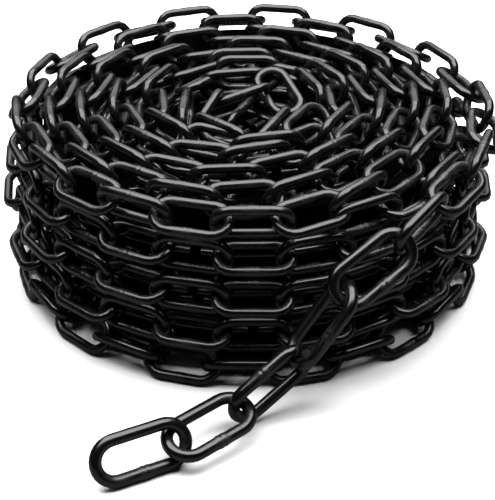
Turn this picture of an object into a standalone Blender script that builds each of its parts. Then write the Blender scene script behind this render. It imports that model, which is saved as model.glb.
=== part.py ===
"""Coil of black long-link chain, wound in five layers, with its free end on the floor.

Units are metres and +Z is up. The origin is on the floor under the middle of the coil.
Each layer is one solid: the links that show are fused to a plain core, which stands for the
links that lie hidden inside. The last links of the coil, and the heavier links of the free end
that hangs from them, are separate solids, each with a small gap to its neighbours.
"""
import math
import random

import bmesh
import bpy
from mathutils import Matrix, Vector

# One link of the coil: round wire bent into a long oval
WIRE = 0.0065
LINK_LENGTH = 0.054
LINK_WIDTH = 0.0275
HALF_WIDTH = (LINK_WIDTH - WIRE) / 2
BOW_CENTRE = (LINK_LENGTH - LINK_WIDTH) / 2

# Roll of a link about its length: 90 degrees stands on edge, a negative one lies with its
# outer side low. Links take turns; those of the lowest layer lean on the floor, and those on
# top lean outwards
WALL_ROLLS = (math.radians(88), math.radians(-20))
FLOOR_ROLLS = (math.radians(45), math.radians(-50))
TOP_ROLLS = (math.radians(-30), math.radians(72))

# The wall: outer turn of each layer, the lowest first, and where its first link begins
LAYERS = 5
FLOOR_HEIGHT = 0.0122
LAYER_RISE = 0.0274
TURN_RADII = (0.1647, 0.1663, 0.1657, 0.1613, 0.1586)
RING_STARTS = (-98.1, -95.5, -109.6, -109.2)
LINKS_AROUND = 26

# Fineness of the search for the next joint along the spiral and along a straight leg
TURN_PART = 0.0002
LEG_PART = 0.002

# The top layer: a spiral from the rim inwards, a little nearer to the front than the wall. Its
# outer end has slipped outwards and down, and its inner end runs over the corners given here
TOP_SHIFT = -0.005
JOINT_STEP = 0.0375
BEND_SLACK = 0.0002
TURN_SPACING = 0.0220
LAPS = 5.62
END_ANGLE = math.radians(-44.8)
END_REACH = 0.0140
REACH_BLEND = 0.22
END_DROP = 0.0090
DROP_BLEND = 0.09
SHIFT_START = 0.89
SHIFT_EARLIER = 0.05
INNER_ROUTE = (
    (-0.039, -0.030, 0.1225),
    (-0.006, -0.050, 0.1225),
    (0.027, -0.033, 0.1225),
    (0.029, 0.004, 0.1225),
    (0.008, 0.027, 0.1225),
    (-0.022, 0.012, 0.1225),
    (-0.026, -0.018, 0.1225),
)
INNER_LINKS = 5

# How far the links lie out of their even places, and how the seeds of their play are spread
ROLL_PLAY = math.radians(4)
HEIGHT_PLAY = 0.0001
RADIUS_PLAY = 0.0006
WAVES = ((3, 0.0008), (5, 0.0005))
WAVE_START = 0.156
WAVE_FULL = 0.158
LAYER_SEED = 1000
JOINT_SEED = 7

# Plain cores of the layers: a slab set back from the wall and a narrow rib that meets its
# links. On top the slab is a plate under the middle of the links, and the rib is a low kerb
GAP = 0.0003
RIB_INSET = 0.0020
SLAB_INSET = 0.0125
RIB_HALF_HEIGHT = 0.0035
KERB_DROP = 0.0007
KERB_HEIGHT = 0.0080
PLATE_DROP = 0.0053
CORE_SIDES = 32
WELD_DISTANCE = 0.00001

# Flat side of the top core where the coil's outer end stands free of it
RIM_LOOSE_LINKS = 4
NOTCH_ANGLE = math.radians(-18)
NOTCH_RADIUS = 0.161
NOTCH_HEIGHT = 0.123
NOTCH_SIZE = (0.030, 0.130, 0.030)

# The free end: each link from one joint to the next, its roll in degrees and its shape. All
# but the first are heavier than the links of the coil
END_SIZE = 1.2
FREE_LINKS = (
    ((0.1219, -0.1268, 0.1134), (0.0941, -0.1574, 0.1027), 106, "last"),
    ((0.0955, -0.1560, 0.1005), (0.0580, -0.1785, 0.0800), 54, "end"),
    ((0.0600, -0.1780, 0.0800), (0.0310, -0.1910, 0.0415), -4, "end"),
    ((0.0327, -0.1905, 0.0401), (-0.0042, -0.2114, 0.0156), 97, "end"),
    ((-0.0038, -0.2129, 0.0182), (-0.0424, -0.2427, 0.0148), 14, "end"),
    ((-0.0407, -0.2390, 0.0159), (-0.0845, -0.2608, 0.0158), 65, "end"),
)

# Corners of a faceted bow and sides of the faceted wire, finer where the link stands free
COIL_CORNERS = 4
INNER_CORNERS = 3
LOOSE_CORNERS = 6
COIL_SIDES = 4
LOOSE_SIDES = 8
SHARP_ANGLE = math.radians(50)


def wire_corner(sides):
    """Corner radius that gives a faceted wire the round wire's section area."""
    return WIRE / 2 * math.sqrt(2 * math.pi / (sides * math.sin(2 * math.pi / sides)))


def smooth_step(value):
    value = min(max(value, 0.0), 1.0)
    return value * value * (3 - 2 * value)


def play(layer, joint, reach, kind):
    """A small seeded offset that is always the same for one joint of one layer."""
    seed = LAYER_SEED * layer + JOINT_SEED * joint + kind
    return random.Random(seed).uniform(-reach, reach)


def wave(x, y):
    """Rise and sag of the wall round the coil, the same in each layer, none further inside."""
    angle = math.atan2(y, x)
    share = smooth_step((math.hypot(x, y) - WAVE_START) / (WAVE_FULL - WAVE_START))
    return share * sum(height * math.sin(count * angle + count) for count, height in WAVES)


def layer_height(layer):
    """Height of the middle of a layer's links."""
    return FLOOR_HEIGHT + layer * LAYER_RISE


def spiral_point(turns):
    """Point of the top layer's spiral, counted in turns from its outer end."""
    lap = int(turns)
    start = SHIFT_START - SHIFT_EARLIER * lap
    shift = smooth_step((turns - lap - start) / (1 - start))
    radius = TURN_RADII[-1] - TURN_SPACING * (lap + shift)
    radius += END_REACH * (1 - smooth_step(turns / REACH_BLEND))
    height = layer_height(LAYERS - 1) - END_DROP * (1 - smooth_step(turns / DROP_BLEND))
    angle = END_ANGLE + 2 * math.pi * turns
    return Vector((radius * math.cos(angle), radius * math.sin(angle) + TOP_SHIFT, height))


def spiral_joints():
    """Joints of the top layer, one step apart along its spiral."""
    joints = [spiral_point(0)]
    turns = 0.0
    while turns < LAPS:
        radius = math.hypot(joints[-1].x, joints[-1].y - TOP_SHIFT)
        step = JOINT_STEP - BEND_SLACK * (TURN_RADII[-1] / radius - 1)
        while (spiral_point(turns) - joints[-1]).length < step:
            turns += TURN_PART
        joints.append(spiral_point(turns))
    return joints


def ring_joints(layer):
    """Joints of the closed ring of links in the wall of a lower layer."""
    joints = []
    for step in range(LINKS_AROUND + 1):
        angle = math.radians(RING_STARTS[layer]) + 2 * math.pi * step / LINKS_AROUND
        radius = TURN_RADII[layer]
        joints.append(Vector((radius * math.cos(angle), radius * math.sin(angle), layer_height(layer))))
    return joints


def shake(joints, layer, closed):
    """Move the joints a little, as laid by hand; the lowest layer stays on the floor."""
    moved = []
    for number, joint in enumerate(joints):
        key = 0 if closed and number == len(joints) - 1 else number
        outward = Vector((joint.x, joint.y, 0)).normalized()
        rise = wave(joint.x, joint.y) + play(layer, key, HEIGHT_PLAY, 1)
        if layer == 0:
            rise = 0.0
        moved.append(joint + outward * play(layer, key, RADIUS_PLAY, 2) + Vector((0, 0, rise)))
    return moved


def link_matrix(start, end, roll):
    """Place of a link between two joints: X along it, Y across its eye, turned by roll."""
    along = (end - start).normalized()
    side = along.cross(Vector((0, 0, 1))).normalized()
    above = side.cross(along)
    across = side * math.cos(roll) + above * math.sin(roll)
    normal = along.cross(across)
    turned = Matrix((along, across, normal)).transposed().to_4x4()
    return Matrix.Translation((start + end) / 2) @ turned


def route_steps(route, count, step):
    """Joints one step apart along a route given by its corner points."""
    joints = [route[0]]
    leg = 0
    part = 0.0
    while len(joints) <= count:
        point = route[leg].lerp(route[leg + 1], part)
        while (point - joints[-1]).length < step:
            part += LEG_PART
            if part > 1 and leg < len(route) - 2:
                leg += 1
                part = 0.0
            point = route[leg].lerp(route[leg + 1], part)
        joints.append(point)
    return joints


def make_collection(name):
    collection = bpy.data.collections.new(name)
    bpy.context.scene.collection.children.link(collection)
    return collection


def black_coat():
    material = bpy.data.materials.new("black_coat")
    material.use_nodes = True
    shader = material.node_tree.nodes["Principled BSDF"]
    shader.inputs["Base Color"].default_value = (0.012, 0.012, 0.013, 1)
    shader.inputs["Roughness"].default_value = 0.3
    shader.inputs["Metallic"].default_value = 0.0
    return material


def link_mesh(name, bow_corners, sides, size=1.0):
    """One link at the origin: a closed wire through corners that hug its round bows."""
    reach = HALF_WIDTH / math.cos(math.pi / bow_corners / 2)
    curve = bpy.data.curves.new(name, "CURVE")
    curve.dimensions = "3D"
    curve.bevel_depth = wire_corner(sides)
    curve.bevel_resolution = sides // 2 - 2
    spline = curve.splines.new("POLY")
    spline.points.add(2 * bow_corners - 1)
    spline.use_cyclic_u = True
    for number, point in enumerate(spline.points):
        angle = -math.pi / 2 + (number + 0.5) * math.pi / bow_corners
        side = 1 if number < bow_corners else -1
        point.co = (side * BOW_CENTRE + reach * math.cos(angle), reach * math.sin(angle), 0, 1)
        point.tilt = math.pi / sides
    wire = bpy.data.objects.new(name, curve)
    bpy.context.scene.collection.objects.link(wire)
    evaluated = wire.evaluated_get(bpy.context.evaluated_depsgraph_get())
    mesh = bpy.data.meshes.new_from_object(evaluated)
    mesh.transform(Matrix.Scale(size, 4))
    bpy.data.objects.remove(wire)
    return mesh


def joined_links(name, meshes, places, collection):
    """One mesh of many links, each a copy of its own shape at its own place."""
    shape = bmesh.new()
    for mesh, place in zip(meshes, places):
        copy = mesh.copy()
        copy.transform(place)
        shape.from_mesh(copy)
        bpy.data.meshes.remove(copy)
    joined = bpy.data.meshes.new(name)
    shape.to_mesh(joined)
    shape.free()
    links = bpy.data.objects.new(name, joined)
    collection.objects.link(links)
    links.hide_render = True
    links.display_type = "WIRE"
    return links


def turned_core(name, outline, collection):
    """A solid of revolution round Z, from (radius, height) corners that start and end on Z."""
    shape = bmesh.new()
    corners = [shape.verts.new((radius, 0, height)) for radius, height in outline]
    for before, after in zip(corners, corners[1:]):
        shape.edges.new((before, after))
    mesh = bpy.data.meshes.new(name)
    shape.to_mesh(mesh)
    shape.free()
    core = bpy.data.objects.new(name, mesh)
    collection.objects.link(core)
    screw = core.modifiers.new("turn", "SCREW")
    screw.steps = CORE_SIDES
    screw.render_steps = CORE_SIDES
    screw.use_merge_vertices = True
    screw.merge_threshold = WELD_DISTANCE
    screw.use_normal_calculate = True
    return core


def combine(target, tool, operation):
    boolean = target.modifiers.new(tool.name, "BOOLEAN")
    boolean.operation = operation
    boolean.solver = "EXACT"
    boolean.use_self = True
    boolean.object = tool


def notch_block(collection):
    """A block across the rim of the top layer, beside the coil's outer end."""
    x = NOTCH_RADIUS * math.cos(NOTCH_ANGLE)
    y = NOTCH_RADIUS * math.sin(NOTCH_ANGLE) + TOP_SHIFT
    bpy.ops.mesh.primitive_cube_add(size=1, location=(x, y, NOTCH_HEIGHT), rotation=(0, 0, NOTCH_ANGLE))
    block = bpy.context.object
    block.name = "notch"
    block.scale = NOTCH_SIZE
    for owner in list(block.users_collection):
        owner.objects.unlink(block)
    collection.objects.link(block)
    block.hide_render = True
    block.display_type = "WIRE"
    return block


def finish(piece, material):
    piece.data.materials.clear()
    piece.data.materials.append(material)
    piece.data.shade_smooth()
    piece.data.set_sharp_from_angle(angle=SHARP_ANGLE)


def link_places(joints, layer):
    rolls = WALL_ROLLS
    if layer == 0:
        rolls = FLOOR_ROLLS
    if layer == LAYERS - 1:
        rolls = TOP_ROLLS
    places = []
    for number in range(len(joints) - 1):
        roll = rolls[number % 2]
        if layer > 0:
            roll += play(layer, number, ROLL_PLAY, 3)
        places.append(link_matrix(joints[number], joints[number + 1], roll))
    return places


def core_outline(layer):
    """Half section of a layer's core: a slab set back from the wall, and a rib that meets it."""
    middle = layer_height(layer)
    outside = TURN_RADII[layer] - RIB_INSET
    inside = TURN_RADII[layer] - SLAB_INSET
    top = middle + LAYER_RISE / 2 - GAP / 2
    bottom = middle - LAYER_RISE / 2 + GAP / 2
    rib_top = middle + RIB_HALF_HEIGHT
    rib_bottom = middle - RIB_HALF_HEIGHT
    if layer == 0:
        bottom = 0
    if layer == LAYERS - 1:
        top = middle - PLATE_DROP
        rib_top = middle - KERB_DROP
        rib_bottom = rib_top - KERB_HEIGHT
    return [
        (0, top),
        (inside, top),
        (inside, rib_top),
        (outside, rib_top),
        (outside, rib_bottom),
        (inside, rib_bottom),
        (inside, bottom),
        (0, bottom),
    ]


def top_joints():
    """Joints of the top layer, from the rim inwards and through the loose inner end."""
    spiral = spiral_joints()
    route = [spiral[-1]] + [Vector(corner) for corner in INNER_ROUTE]
    inner = route_steps(route, INNER_LINKS, JOINT_STEP - BEND_SLACK)
    return shake(spiral + inner[1:], LAYERS - 1, False)


def make_layer(layer, shapes, material, parts, tools):
    """One layer: its links fused to a plain core."""
    name = "layer_%d" % (layer + 1)
    core = turned_core(name, core_outline(layer), parts)
    if layer == LAYERS - 1:
        core.location.y = TOP_SHIFT
        places = link_places(top_joints(), layer)[RIM_LOOSE_LINKS:]
        inner_links = len(places) - LINKS_AROUND
        meshes = [shapes["wall"]] * LINKS_AROUND + [shapes["inner"]] * inner_links
        combine(core, notch_block(tools), "DIFFERENCE")
    else:
        places = link_places(shake(ring_joints(layer), layer, True), layer)
        meshes = [shapes["wall"]] * len(places)
    combine(core, joined_links("links_of_" + name, meshes, places, tools), "UNION")
    finish(core, material)


def make_loose_link(name, mesh, place, material, parts):
    link = bpy.data.objects.new(name, mesh.copy())
    link.matrix_world = place
    parts.objects.link(link)
    finish(link, material)


for leftover in list(bpy.data.objects):
    bpy.data.objects.remove(leftover, do_unlink=True)

parts = make_collection("anchor_chain_coil")
tools = make_collection("cutters")
coat = black_coat()
shapes = {
    "wall": link_mesh("wall_link", COIL_CORNERS, COIL_SIDES),
    "inner": link_mesh("inner_link", INNER_CORNERS, COIL_SIDES),
    "last": link_mesh("last_link", COIL_CORNERS, LOOSE_SIDES),
    "end": link_mesh("end_link", LOOSE_CORNERS, LOOSE_SIDES, END_SIZE),
}
for layer in range(LAYERS):
    make_layer(layer, shapes, coat, parts, tools)

# The last links of the coil, which stand free of the core, and the free end that hangs on them
for number, place in enumerate(link_places(top_joints(), LAYERS - 1)[:RIM_LOOSE_LINKS], start=1):
    make_loose_link("rim_link_%d" % number, shapes["last"], place, coat, parts)
for number, (start, end, roll, shape) in enumerate(FREE_LINKS, start=1):
    place = link_matrix(Vector(start), Vector(end), math.radians(roll))
    make_loose_link("free_link_%d" % number, shapes[shape], place, coat, parts)
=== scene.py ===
import math
import random

import bpy
from mathutils import Matrix, Vector


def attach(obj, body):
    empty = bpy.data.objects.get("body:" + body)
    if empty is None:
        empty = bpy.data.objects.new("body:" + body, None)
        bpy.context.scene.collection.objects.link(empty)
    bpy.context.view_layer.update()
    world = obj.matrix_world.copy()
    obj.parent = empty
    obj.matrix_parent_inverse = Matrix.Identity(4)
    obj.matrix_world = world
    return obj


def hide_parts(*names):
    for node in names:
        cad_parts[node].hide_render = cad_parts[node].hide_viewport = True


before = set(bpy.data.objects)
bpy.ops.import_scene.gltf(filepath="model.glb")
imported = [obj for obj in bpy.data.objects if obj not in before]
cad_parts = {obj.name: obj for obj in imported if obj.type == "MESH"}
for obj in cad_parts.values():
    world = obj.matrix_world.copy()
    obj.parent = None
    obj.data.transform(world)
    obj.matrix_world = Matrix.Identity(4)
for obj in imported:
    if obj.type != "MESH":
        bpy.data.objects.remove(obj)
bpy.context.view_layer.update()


# The black coat: drawn steel wire dipped in a glossy black enamel, which covers every link all
# round. It lies a little uneven, like thin orange peel, and is rubbed dull and grey where the
# links bear on each other in the bows and over the ground-down butt welds.
class Flow:
    """One output socket of a material's nodes, with arithmetic that adds Math nodes."""

    def __init__(self, tree, socket):
        self.tree = tree
        self.socket = socket

    def node(self, kind, settings=None, sockets=None):
        """Add a node with its settings and the values or links of its sockets."""
        made = self.tree.nodes.new(kind)
        for name, value in (settings or {}).items():
            setattr(made, name, value)
        for name, value in (sockets or {}).items():
            if isinstance(value, Flow):
                self.tree.links.new(value.socket, made.inputs[name])
            else:
                made.inputs[name].default_value = value
        return made

    def out(self, made, name=0):
        """One output of a node, by name or number."""
        return Flow(self.tree, made.outputs[name])

    def math(self, operation, first, second):
        made = self.node("ShaderNodeMath", {"operation": operation}, {0: first, 1: second})
        return self.out(made)

    def __add__(self, other):
        return self.math("ADD", self, other)

    def __radd__(self, other):
        return self.math("ADD", other, self)

    def __mul__(self, other):
        return self.math("MULTIPLY", self, other)

    def __rmul__(self, other):
        return self.math("MULTIPLY", other, self)


# Sizes of the coat's unevenness, in clouds to the metre: dull patches, orange peel and fine grain
mottle_scale = 170
peel_scale = 420
grain_scale = 900
peel_depth = 0.0002
jet_black = (0.0012, 0.0012, 0.0013, 1)
rubbed_grey = (0.014, 0.0138, 0.0135, 1)
gloss = 0.12


def black_enamel():
    """The coat's material, which reads how rubbed a place is and the link's own tone."""
    material = bpy.data.materials.new("black_enamel")
    material.use_nodes = True
    tree = material.node_tree
    shader = tree.nodes["Principled BSDF"]
    nodes = Flow(tree, None)
    place = nodes.out(nodes.node("ShaderNodeTexCoord"), "Object")
    rubbed = nodes.out(nodes.node("ShaderNodeAttribute", {"attribute_name": "rubbed"}), "Fac")
    tone = nodes.out(nodes.node("ShaderNodeAttribute", {"attribute_name": "tone"}), "Fac")

    def cloud(scale, detail, roughness):
        return nodes.out(nodes.node("ShaderNodeTexNoise", {}, {
            "Vector": place, "Scale": scale, "Detail": detail, "Roughness": roughness}))

    mottle = cloud(mottle_scale, 4, 0.6)
    grain = cloud(grain_scale, 3, 0.6)
    peel = cloud(peel_scale, 2, 0.5)
    wear = rubbed * mottle
    colour = nodes.node("ShaderNodeMix", {"data_type": "RGBA"}, {
        "Factor": wear * 1.2, "A": jet_black, "B": rubbed_grey})
    tree.links.new(colour.outputs[2], shader.inputs["Base Color"])
    roughness = gloss + mottle * 0.12 + tone * 0.05 + wear * 0.22
    tree.links.new(roughness.socket, shader.inputs["Roughness"])
    bump = nodes.node("ShaderNodeBump", {}, {
        "Strength": 0.25, "Distance": peel_depth, "Height": peel * 0.7 + grain * 0.3})
    tree.links.new(bump.outputs[0], shader.inputs["Normal"])
    return material


enamel = black_enamel()


# One link: 6.5 mm round wire bent into a long oval of 54 by 27.5 mm and butt welded in the
# middle of one long side, where the flash is ground back to a low collar. It is modelled lying
# flat, its length along X, and every link is a copy of it.
wire = 0.0065
link_length = 0.054
link_width = 0.0275
half_width = (link_width - wire) / 2
bow_centre = (link_length - link_width) / 2
# Places along the weld, from its middle, and how far the collar swells the wire there
weld_collar = [(0.0, 1.0), (0.0007, 1.08), (0.0021, 1.07), (0.0036, 1.0)]
fine_collar = [(0.0, 1.03), (0.0006, 1.10), (0.0018, 1.11), (0.0028, 1.04), (0.0042, 1.0)]
# How rubbed the coat is where nothing bears on it, against 1 in the bows and on the weld
barely_rubbed = 0.15
merge_reach = 0.00002


def bent_link(name, sides, bow_steps, collar):
    """A round section drawn along one side, spun round a bow, and so on back to its start."""
    collar_end = collar[-1][0]
    bpy.ops.object.select_all(action="DESELECT")
    bpy.ops.mesh.primitive_circle_add(vertices=sides, radius=wire / 2, rotation=(0, math.pi / 2, 0),
                                      location=(collar_end, -half_width, 0))
    link = bpy.context.object
    link.name = name
    bpy.ops.object.transform_apply(location=True, rotation=True, scale=True)
    bpy.ops.object.mode_set(mode="EDIT")
    bpy.ops.mesh.select_all(action="SELECT")
    bpy.ops.mesh.extrude_region_move(
        TRANSFORM_OT_translate={"value": (bow_centre - collar_end, 0, 0)})
    bpy.ops.mesh.spin(steps=bow_steps, angle=-math.pi, center=(bow_centre, 0, 0), axis=(0, 0, 1))
    bpy.ops.mesh.extrude_region_move(TRANSFORM_OT_translate={"value": (-2 * bow_centre, 0, 0)})
    bpy.ops.mesh.spin(steps=bow_steps, angle=-math.pi, center=(-bow_centre, 0, 0), axis=(0, 0, 1))
    # The straight side with the weld, section by section, back to where the wire began
    here = -bow_centre
    size = 1.0
    stations = [(-place, swell) for place, swell in reversed(collar)]
    stations += [(place, swell) for place, swell in collar[1:]]
    for place, swell in stations:
        bpy.ops.mesh.extrude_region_move(TRANSFORM_OT_translate={"value": (place - here, 0, 0)})
        grow = swell / size
        bpy.ops.transform.resize(value=(1, grow, grow), center_override=(place, -half_width, 0))
        here = place
        size = swell
    bpy.ops.mesh.select_all(action="SELECT")
    bpy.ops.mesh.remove_doubles(threshold=merge_reach)
    bpy.ops.mesh.normals_make_consistent(inside=False)
    bpy.ops.object.mode_set(mode="OBJECT")
    link.data.polygons.foreach_set("use_smooth", [True] * len(link.data.polygons))
    rubbed = link.data.attributes.new("rubbed", "FLOAT", "POINT")
    link.data.attributes.new("tone", "FLOAT", "POINT")
    for corner, mark in zip(link.data.vertices, rubbed.data):
        along = abs(corner.co.x) - bow_centre
        reach = math.hypot(max(along, 0), corner.co.y)
        inside = along > 0 and reach < half_width
        weld = corner.co.y < 0 and abs(corner.co.x) < collar_end
        mark.value = 1.0 if inside or weld else barely_rubbed
    return link


shown_link = bent_link("shown_link", 10, 8, weld_collar)
buried_link = bent_link("buried_link", 6, 4, weld_collar[-1:])
free_link = bent_link("free_link", 16, 14, fine_collar)
for pattern in (shown_link, buried_link, free_link):
    pattern.hide_render = True


def laid_copy(pattern, place, seed):
    """A copy of a link with its own mesh, moved to its place in the coil."""
    chance = random.Random(seed)
    copy = pattern.copy()
    copy.data = pattern.data.copy()
    bpy.context.scene.collection.objects.link(copy)
    copy.hide_render = False
    # The weld lies on either long side: half a turn about the link's length or through its eye
    if chance.random() < 0.5:
        copy.data.transform(Matrix.Rotation(math.pi, 4, "X"))
    if chance.random() < 0.5:
        copy.data.transform(Matrix.Rotation(math.pi, 4, "Z"))
    copy.data.transform(place)
    tone = chance.random()
    for mark in copy.data.attributes["tone"].data:
        mark.value = tone
    return copy


def joined(name, copies, node):
    """Many links as one piece that rides the coil and stands for a solid of it."""
    bpy.ops.object.select_all(action="DESELECT")
    for copy in copies:
        copy.select_set(True)
    bpy.context.view_layer.objects.active = copies[0]
    if len(copies) > 1:
        bpy.ops.object.join()
    piece = copies[0]
    piece.name = name
    piece.data.materials.clear()
    piece.data.materials.append(enamel)
    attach(piece, "root")
    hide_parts(node)


# The wall and the inside: the chain is laid round by hand in flat turns, one layer on another.
# Links stand on edge and lie with the outer side low in turn, because each is threaded through
# its neighbours. The lowest ones lean on the floor. A second turn shows behind the wall.
layers = 5
floor_height = 0.0122
layer_rise = 0.0274
turn_radii = (0.1647, 0.1663, 0.1657, 0.1613, 0.1586)
ring_starts = (-98.1, -95.5, -109.6, -109.2)
links_around = 26
# Roll of every other link about its length, and of those between: 90 degrees stands on edge
wall_rolls = (math.radians(88), math.radians(-20))
floor_rolls = (math.radians(45), math.radians(-50))
inside_rolls = (math.radians(52), math.radians(-38))
roll_play = math.radians(4)
height_play = 0.0001
radius_play = 0.0006
# Crests of each wave round the coil and their height, and the radii over which it sets in
waves = ((3, 0.0008), (5, 0.0005))
wave_start = 0.156
wave_full = 0.158
second_turn = 0.0190
inside_spacing = 0.0210
inside_turns = 7
inside_chord = 0.0400
inside_start = 31
wall_seed = 100
buried_seed = 5000


def smooth_step(value):
    """A share from 0 to 1 that starts and ends gently."""
    value = min(max(value, 0.0), 1.0)
    return value * value * (3 - 2 * value)


def play(layer, joint, reach, kind):
    """A small seeded offset that is always the same for one joint of one layer."""
    return random.Random(1000 * layer + joint * 7 + kind).uniform(-reach, reach)


def wave(x, y):
    """Rise and sag of the wall round the coil, the same in each layer, none further inside."""
    angle = math.atan2(y, x)
    share = smooth_step((math.hypot(x, y) - wave_start) / (wave_full - wave_start))
    return share * sum(height * math.sin(count * angle + count) for count, height in waves)


def layer_height(layer):
    """Height of the joints of a layer."""
    return floor_height + layer * layer_rise


def ring_joints(radius, height, count, first):
    """Joints of one closed turn of links, the first of them at an angle in degrees."""
    angles = [math.radians(first) + 2 * math.pi * step / count for step in range(count + 1)]
    return [Vector((radius * math.cos(angle), radius * math.sin(angle), height))
            for angle in angles]


def shaken(joints, layer, closed):
    """The joints moved a little, as laid by hand; the lowest layer stays on the floor."""
    moved = []
    for number, joint in enumerate(joints):
        key = 0 if closed and number == len(joints) - 1 else number
        outward = Vector((joint.x, joint.y, 0)).normalized()
        rise = 0.0 if layer == 0 else wave(joint.x, joint.y) + play(layer, key, height_play, 1)
        moved.append(joint + outward * play(layer, key, radius_play, 2) + Vector((0, 0, rise)))
    return moved


def link_matrix(start, end, turned):
    """Place of a link between two joints: X along it, Y across its eye, turned by its roll."""
    along = (end - start).normalized()
    side = along.cross(Vector((0, 0, 1))).normalized()
    above = side.cross(along)
    across = side * math.cos(turned) + above * math.sin(turned)
    normal = along.cross(across)
    turned_link = Matrix((along, across, normal)).transposed().to_4x4()
    return Matrix.Translation((start + end) / 2) @ turned_link


def link_places(joints, layer, rolls):
    """Places of a row of links from joint to joint, rolled in turn; all but the lowest vary."""
    places = []
    for number in range(len(joints) - 1):
        turned = rolls[number % 2]
        if layer > 0:
            turned += play(layer, number, roll_play, 3)
        places.append(link_matrix(joints[number], joints[number + 1], turned))
    return places


for layer in range(layers - 1):
    ring = ring_joints(turn_radii[layer], layer_height(layer), links_around, ring_starts[layer])
    places = link_places(shaken(ring, layer, True), layer, wall_rolls if layer else floor_rolls)
    copies = [laid_copy(shown_link, place, wall_seed * layer + number)
              for number, place in enumerate(places)]
    # The second turn begins a link further round, so that one stands behind each that lies
    first = ring_starts[layer] + 360 / links_around
    ring = ring_joints(turn_radii[layer] - second_turn, layer_height(layer), links_around, first)
    for place in link_places(ring, layer, wall_rolls if layer else inside_rolls):
        copies.append(laid_copy(buried_link, place, buried_seed + len(copies)))
    # Only the turns right below the top layer can be seen between its links
    for turn in range(1, inside_turns if layer == layers - 2 else 1):
        radius = turn_radii[layer] - second_turn - inside_spacing * turn
        count = 2 * math.ceil(math.pi * radius / inside_chord)
        ring = ring_joints(radius, layer_height(layer), count, inside_start * turn)
        for place in link_places(ring, layer, inside_rolls):
            copies.append(laid_copy(buried_link, place, buried_seed + len(copies)))
    joined("links_of_layer_%d" % (layer + 1), copies, "layer_%d" % (layer + 1))


# The inside of the coil: chain packed so close that no light comes out. It is not modelled link
# by link. A plain dull black core stands for it and is painted shade: it is matte, without the
# coat's gloss, so that the deep parts read as shadow. It has a kerb behind the links of the top
# turn, which puts painted shade where the floor would show through the gaps.
# Radius and height of its outline, from the dish under the top layer over the kerb to the foot
core_outline = [
    (0.118, 0.0990), (0.138, 0.1185), (0.1445, 0.1185), (0.1445, 0.0960), (0.1400, 0.0900),
    (0.1400, 0.0030),
]
core_steps = 64
core_shift = -0.002
# Painted shade: a matte near-black without gloss, standing for the shadow deep inside the coil
painted_shade_black = bpy.data.materials.new("painted_shade_black")
painted_shade_black.use_nodes = True
shader = painted_shade_black.node_tree.nodes["Principled BSDF"]
nodes = Flow(painted_shade_black.node_tree, None)
place = nodes.out(nodes.node("ShaderNodeTexCoord"), "Object")
patches = nodes.out(nodes.node("ShaderNodeTexNoise", {}, {"Vector": place, "Scale": 60}))
dark = nodes.node("ShaderNodeMix", {"data_type": "RGBA"}, {
    "Factor": patches, "A": (0.0006, 0.0006, 0.0006, 1), "B": (0.0014, 0.0014, 0.0014, 1)})
painted_shade_black.node_tree.links.new(dark.outputs[2], shader.inputs["Base Color"])
shader.inputs["Roughness"].default_value = 1.0
shader.inputs["Specular IOR Level"].default_value = 0.0
bpy.ops.object.select_all(action="DESELECT")
bpy.ops.mesh.primitive_circle_add(vertices=core_steps, radius=core_outline[0][0], fill_type="NGON",
                                  location=(0, core_shift, core_outline[0][1]))
core = bpy.context.object
core.name = "packed_chain_and_shade"
bpy.ops.object.transform_apply(location=True, rotation=True, scale=True)
bpy.ops.object.mode_set(mode="EDIT")
bpy.ops.mesh.select_all(action="SELECT")
for before, after in zip(core_outline, core_outline[1:]):
    bpy.ops.mesh.extrude_region_move(TRANSFORM_OT_translate={"value": (0, 0, after[1] - before[1])})
    grow = after[0] / before[0]
    bpy.ops.transform.resize(value=(grow, grow, 1), center_override=(0, core_shift, after[1]))
bpy.ops.mesh.select_all(action="SELECT")
bpy.ops.mesh.normals_make_consistent(inside=False)
bpy.ops.object.mode_set(mode="OBJECT")
core.data.materials.append(painted_shade_black)
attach(core, "root")


# The top layer: a spiral of links from the rim inwards, which lean outwards on top of the coil,
# and the loose inner end of the chain, which curls round in the hollow in the middle.
top = layers - 1
top_rolls = (math.radians(-30), math.radians(72))
top_shift = -0.005
joint_step = 0.0375
bend_slack = 0.0002
turn_spacing = 0.0220
turn_step = 0.0002
laps = 5.62
end_angle = math.radians(-44.8)
# Its outer end reaches out and drops over the rim, and comes in over these parts of a turn
end_reach = 0.0140
reach_blend = 0.22
end_drop = 0.0090
drop_blend = 0.09
# Each turn moves inwards by one spacing in its last part, which begins earlier further in
shift_start = 0.89
shift_earlier = 0.05
even_links = 92
top_seed = 7000
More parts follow.
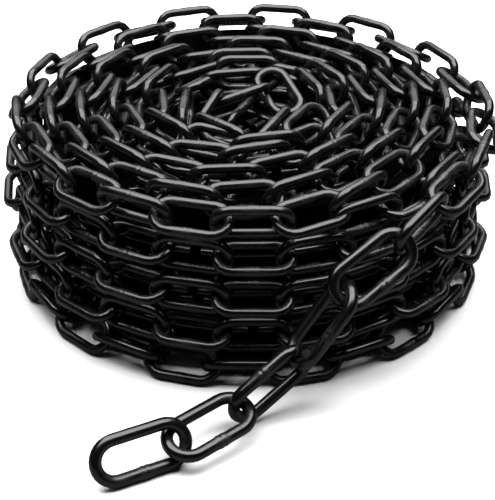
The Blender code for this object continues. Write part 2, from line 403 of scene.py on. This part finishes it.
# The links round and in the hollow, each by two points on its length, and its roll in degrees
hollow_links = [
    ((-0.0425, -0.0530, 0.1220), (-0.0020, -0.0730, 0.1220), -30),
    ((-0.0080, -0.0735, 0.1220), (0.0330, -0.0640, 0.1220), 72),
    ((0.0300, -0.0570, 0.1220), (0.0540, -0.0150, 0.1220), -30),
    ((0.0520, -0.0080, 0.1220), (0.0320, 0.0400, 0.1220), 72),
    ((0.0360, 0.0350, 0.1220), (0.0060, 0.0530, 0.1220), -30),
    ((0.0240, 0.0490, 0.1220), (-0.0240, 0.0490, 0.1220), 72),
    ((-0.0190, 0.0520, 0.1220), (-0.0450, 0.0200, 0.1220), -30),
    ((-0.0420, 0.0060, 0.1212), (-0.0440, -0.0440, 0.1212), 84),
    ((-0.0375, -0.0310, 0.1210), (0.0025, -0.0660, 0.1210), 72),
    ((-0.0360, 0.0290, 0.1210), (0.0170, 0.0380, 0.1210), 72),
    ((0.0121, 0.0365, 0.1308), (0.0331, -0.0105, 0.1168), -12),
    ((-0.0280, 0.0005, 0.1170), (0.0130, 0.0145, 0.1260), 37),
    ((-0.0210, 0.0030, 0.1252), (-0.0405, -0.0360, 0.1100), -65),
    ((0.0010, -0.0640, 0.1180), (0.0255, -0.0215, 0.1240), 55),
    ((-0.0150, -0.0150, 0.1050), (0.0060, 0.0270, 0.1050), 80),
]


def spiral_point(turns):
    """Point of the top layer's spiral, counted in turns from its outer end."""
    lap = int(turns)
    begin = shift_start - shift_earlier * lap
    shift = smooth_step((turns - lap - begin) / (1 - begin))
    radius = turn_radii[top] - turn_spacing * (lap + shift)
    radius += end_reach * (1 - smooth_step(turns / reach_blend))
    height = layer_height(top) - end_drop * (1 - smooth_step(turns / drop_blend))
    angle = end_angle + 2 * math.pi * turns
    return Vector((radius * math.cos(angle), radius * math.sin(angle) + top_shift, height))


joints = [spiral_point(0)]
turns = 0.0
while turns < laps:
    radius = math.hypot(joints[-1].x, joints[-1].y - top_shift)
    step = joint_step - bend_slack * (turn_radii[top] / radius - 1)
    while (spiral_point(turns) - joints[-1]).length < step:
        turns += turn_step
    joints.append(spiral_point(turns))
top_places = link_places(shaken(joints, top, False), top, top_rolls)[:even_links]
for start, end, degrees in hollow_links:
    top_places.append(link_matrix(Vector(start), Vector(end), math.radians(degrees)))
# Where the outer turn moves inwards, a few links of the turn below come up beside it
side_angles = (-68, -54.5, -41, -27.5, -14)
side_radius = 0.1548
side_height = 0.1120
side_rolls = (math.radians(80), math.radians(-12))
side_joints = []
for angle in (math.radians(degrees) for degrees in side_angles):
    side_joints.append(Vector((side_radius * math.cos(angle),
                               side_radius * math.sin(angle) + top_shift, side_height)))
top_places += link_places(side_joints, 0, side_rolls)

loose_links = 4
copies = [laid_copy(shown_link, place, top_seed + number)
          for number, place in enumerate(top_places[loose_links:])]
joined("links_of_layer_5", copies, "layer_5")


# The last links of the coil: they have slipped a little outwards and down over the rim, drawn
# by the free end that hangs on them.
slipped_seed = 8000
for number, place in enumerate(top_places[:loose_links], start=1):
    slipped = laid_copy(free_link, place, slipped_seed + number)
    joined("slipped_link_%d" % number, [slipped], "rim_link_%d" % number)


# The free end: a link of the coil hangs over the rim, and five heavier links of the same pattern,
# of 7.8 mm wire, hang down the wall and lie out on the floor, where the last ends in an open eye.
heavier = 1.2
end_seed = 8100
# Each link by two points on its length, its roll in degrees and its size against the coil's
free_links = [
    ((0.1219, -0.1268, 0.1134), (0.0941, -0.1574, 0.1027), 106, 1.0),
    ((0.0955, -0.1560, 0.1005), (0.0580, -0.1785, 0.0800), 54, heavier),
    ((0.0600, -0.1780, 0.0800), (0.0310, -0.1910, 0.0415), -4, heavier),
    ((0.0327, -0.1905, 0.0401), (-0.0042, -0.2114, 0.0156), 97, heavier),
    ((-0.0038, -0.2129, 0.0182), (-0.0424, -0.2427, 0.0148), 14, heavier),
    ((-0.0407, -0.2390, 0.0159), (-0.0845, -0.2608, 0.0158), 65, heavier),
]
for number, (start, end, degrees, size) in enumerate(free_links, start=1):
    place = link_matrix(Vector(start), Vector(end), math.radians(degrees)) @ Matrix.Scale(size, 4)
    hanging = laid_copy(free_link, place, end_seed + number)
    joined("end_link_%d" % number, [hanging], "free_link_%d" % number)
# All links are laid, so the patterns they were copied from go
for pattern in (shown_link, buried_link, free_link):
    bpy.data.objects.remove(pattern, do_unlink=True)


# The studio: a plain floor, two soft lights overhead, a third far behind, and a camera in front
# that looks down on the coil. The floor and what is round it are white to the camera and dim in
# the black coat, which mirrors little more than the lights.
floor_radius = 1.0
floor_dim = (0.15, 0.15, 0.15, 1)
floor_pale = (0.9, 0.9, 0.9, 1)
floor_white = bpy.data.materials.new("floor_white")
floor_white.use_nodes = True
shader = floor_white.node_tree.nodes["Principled BSDF"]
nodes = Flow(floor_white.node_tree, None)
seen = nodes.out(nodes.node("ShaderNodeLightPath"), "Is Camera Ray")
tint = nodes.node("ShaderNodeMix", {"data_type": "RGBA"}, {
    "Factor": seen, "A": floor_dim, "B": floor_pale})
floor_white.node_tree.links.new(tint.outputs[2], shader.inputs["Base Color"])
shader.inputs["Roughness"].default_value = 0.9
shader.inputs["Specular IOR Level"].default_value = 0.0
bpy.ops.object.select_all(action="DESELECT")
bpy.ops.mesh.primitive_circle_add(vertices=96, radius=floor_radius, fill_type="NGON",
                                  location=(0, 0, 0))
floor = bpy.context.object
floor.name = "studio_floor"
floor.data.materials.append(floor_white)


def soft_light(name, place, target, width, depth, power):
    """A flat lamp of a width and depth that faces its target."""
    lamp = bpy.data.lights.new(name, "AREA")
    lamp.shape = "RECTANGLE"
    lamp.size = width
    lamp.size_y = depth
    lamp.energy = power
    holder = bpy.data.objects.new(name, lamp)
    holder.location = place
    holder.rotation_euler = (Vector(target) - Vector(place)).to_track_quat("-Z", "Y").to_euler()
    bpy.context.scene.collection.objects.link(holder)


soft_light("overhead", (0, 0.468, 1.53), (0, 0, 0), 2.2, 1.16, 60)
soft_light("front_strip", (0, -0.36, 1.56), (0, 0, 0), 2.2, 0.56, 37)
soft_light("backdrop", (0, 3.0, 1.9), (0, 0, 0.1), 5.0, 1.6, 50)

world = bpy.data.worlds.new("studio")
bpy.context.scene.world = world
world.use_nodes = True
backdrop = world.node_tree.nodes["Background"]
backdrop.inputs["Color"].default_value = (1, 1, 1, 1)
nodes = Flow(world.node_tree, None)
seen = nodes.out(nodes.node("ShaderNodeLightPath"), "Is Camera Ray")
world.node_tree.links.new((0.01 + seen * 0.99).socket, backdrop.inputs["Strength"])
bpy.context.scene.view_settings.view_transform = "Standard"

camera_place = (0.0, -0.7867, 0.503)
camera_pitch = math.radians(32.777)
camera_lens = 87.5
camera_sensor = 36
camera = bpy.data.cameras.new("camera")
camera.lens = camera_lens
camera.sensor_width = camera_sensor
viewpoint = bpy.data.objects.new("camera", camera)
viewpoint.location = camera_place
viewpoint.rotation_euler = (math.pi / 2 - camera_pitch, 0, 0)
bpy.context.scene.collection.objects.link(viewpoint)
bpy.context.scene.camera = viewpoint
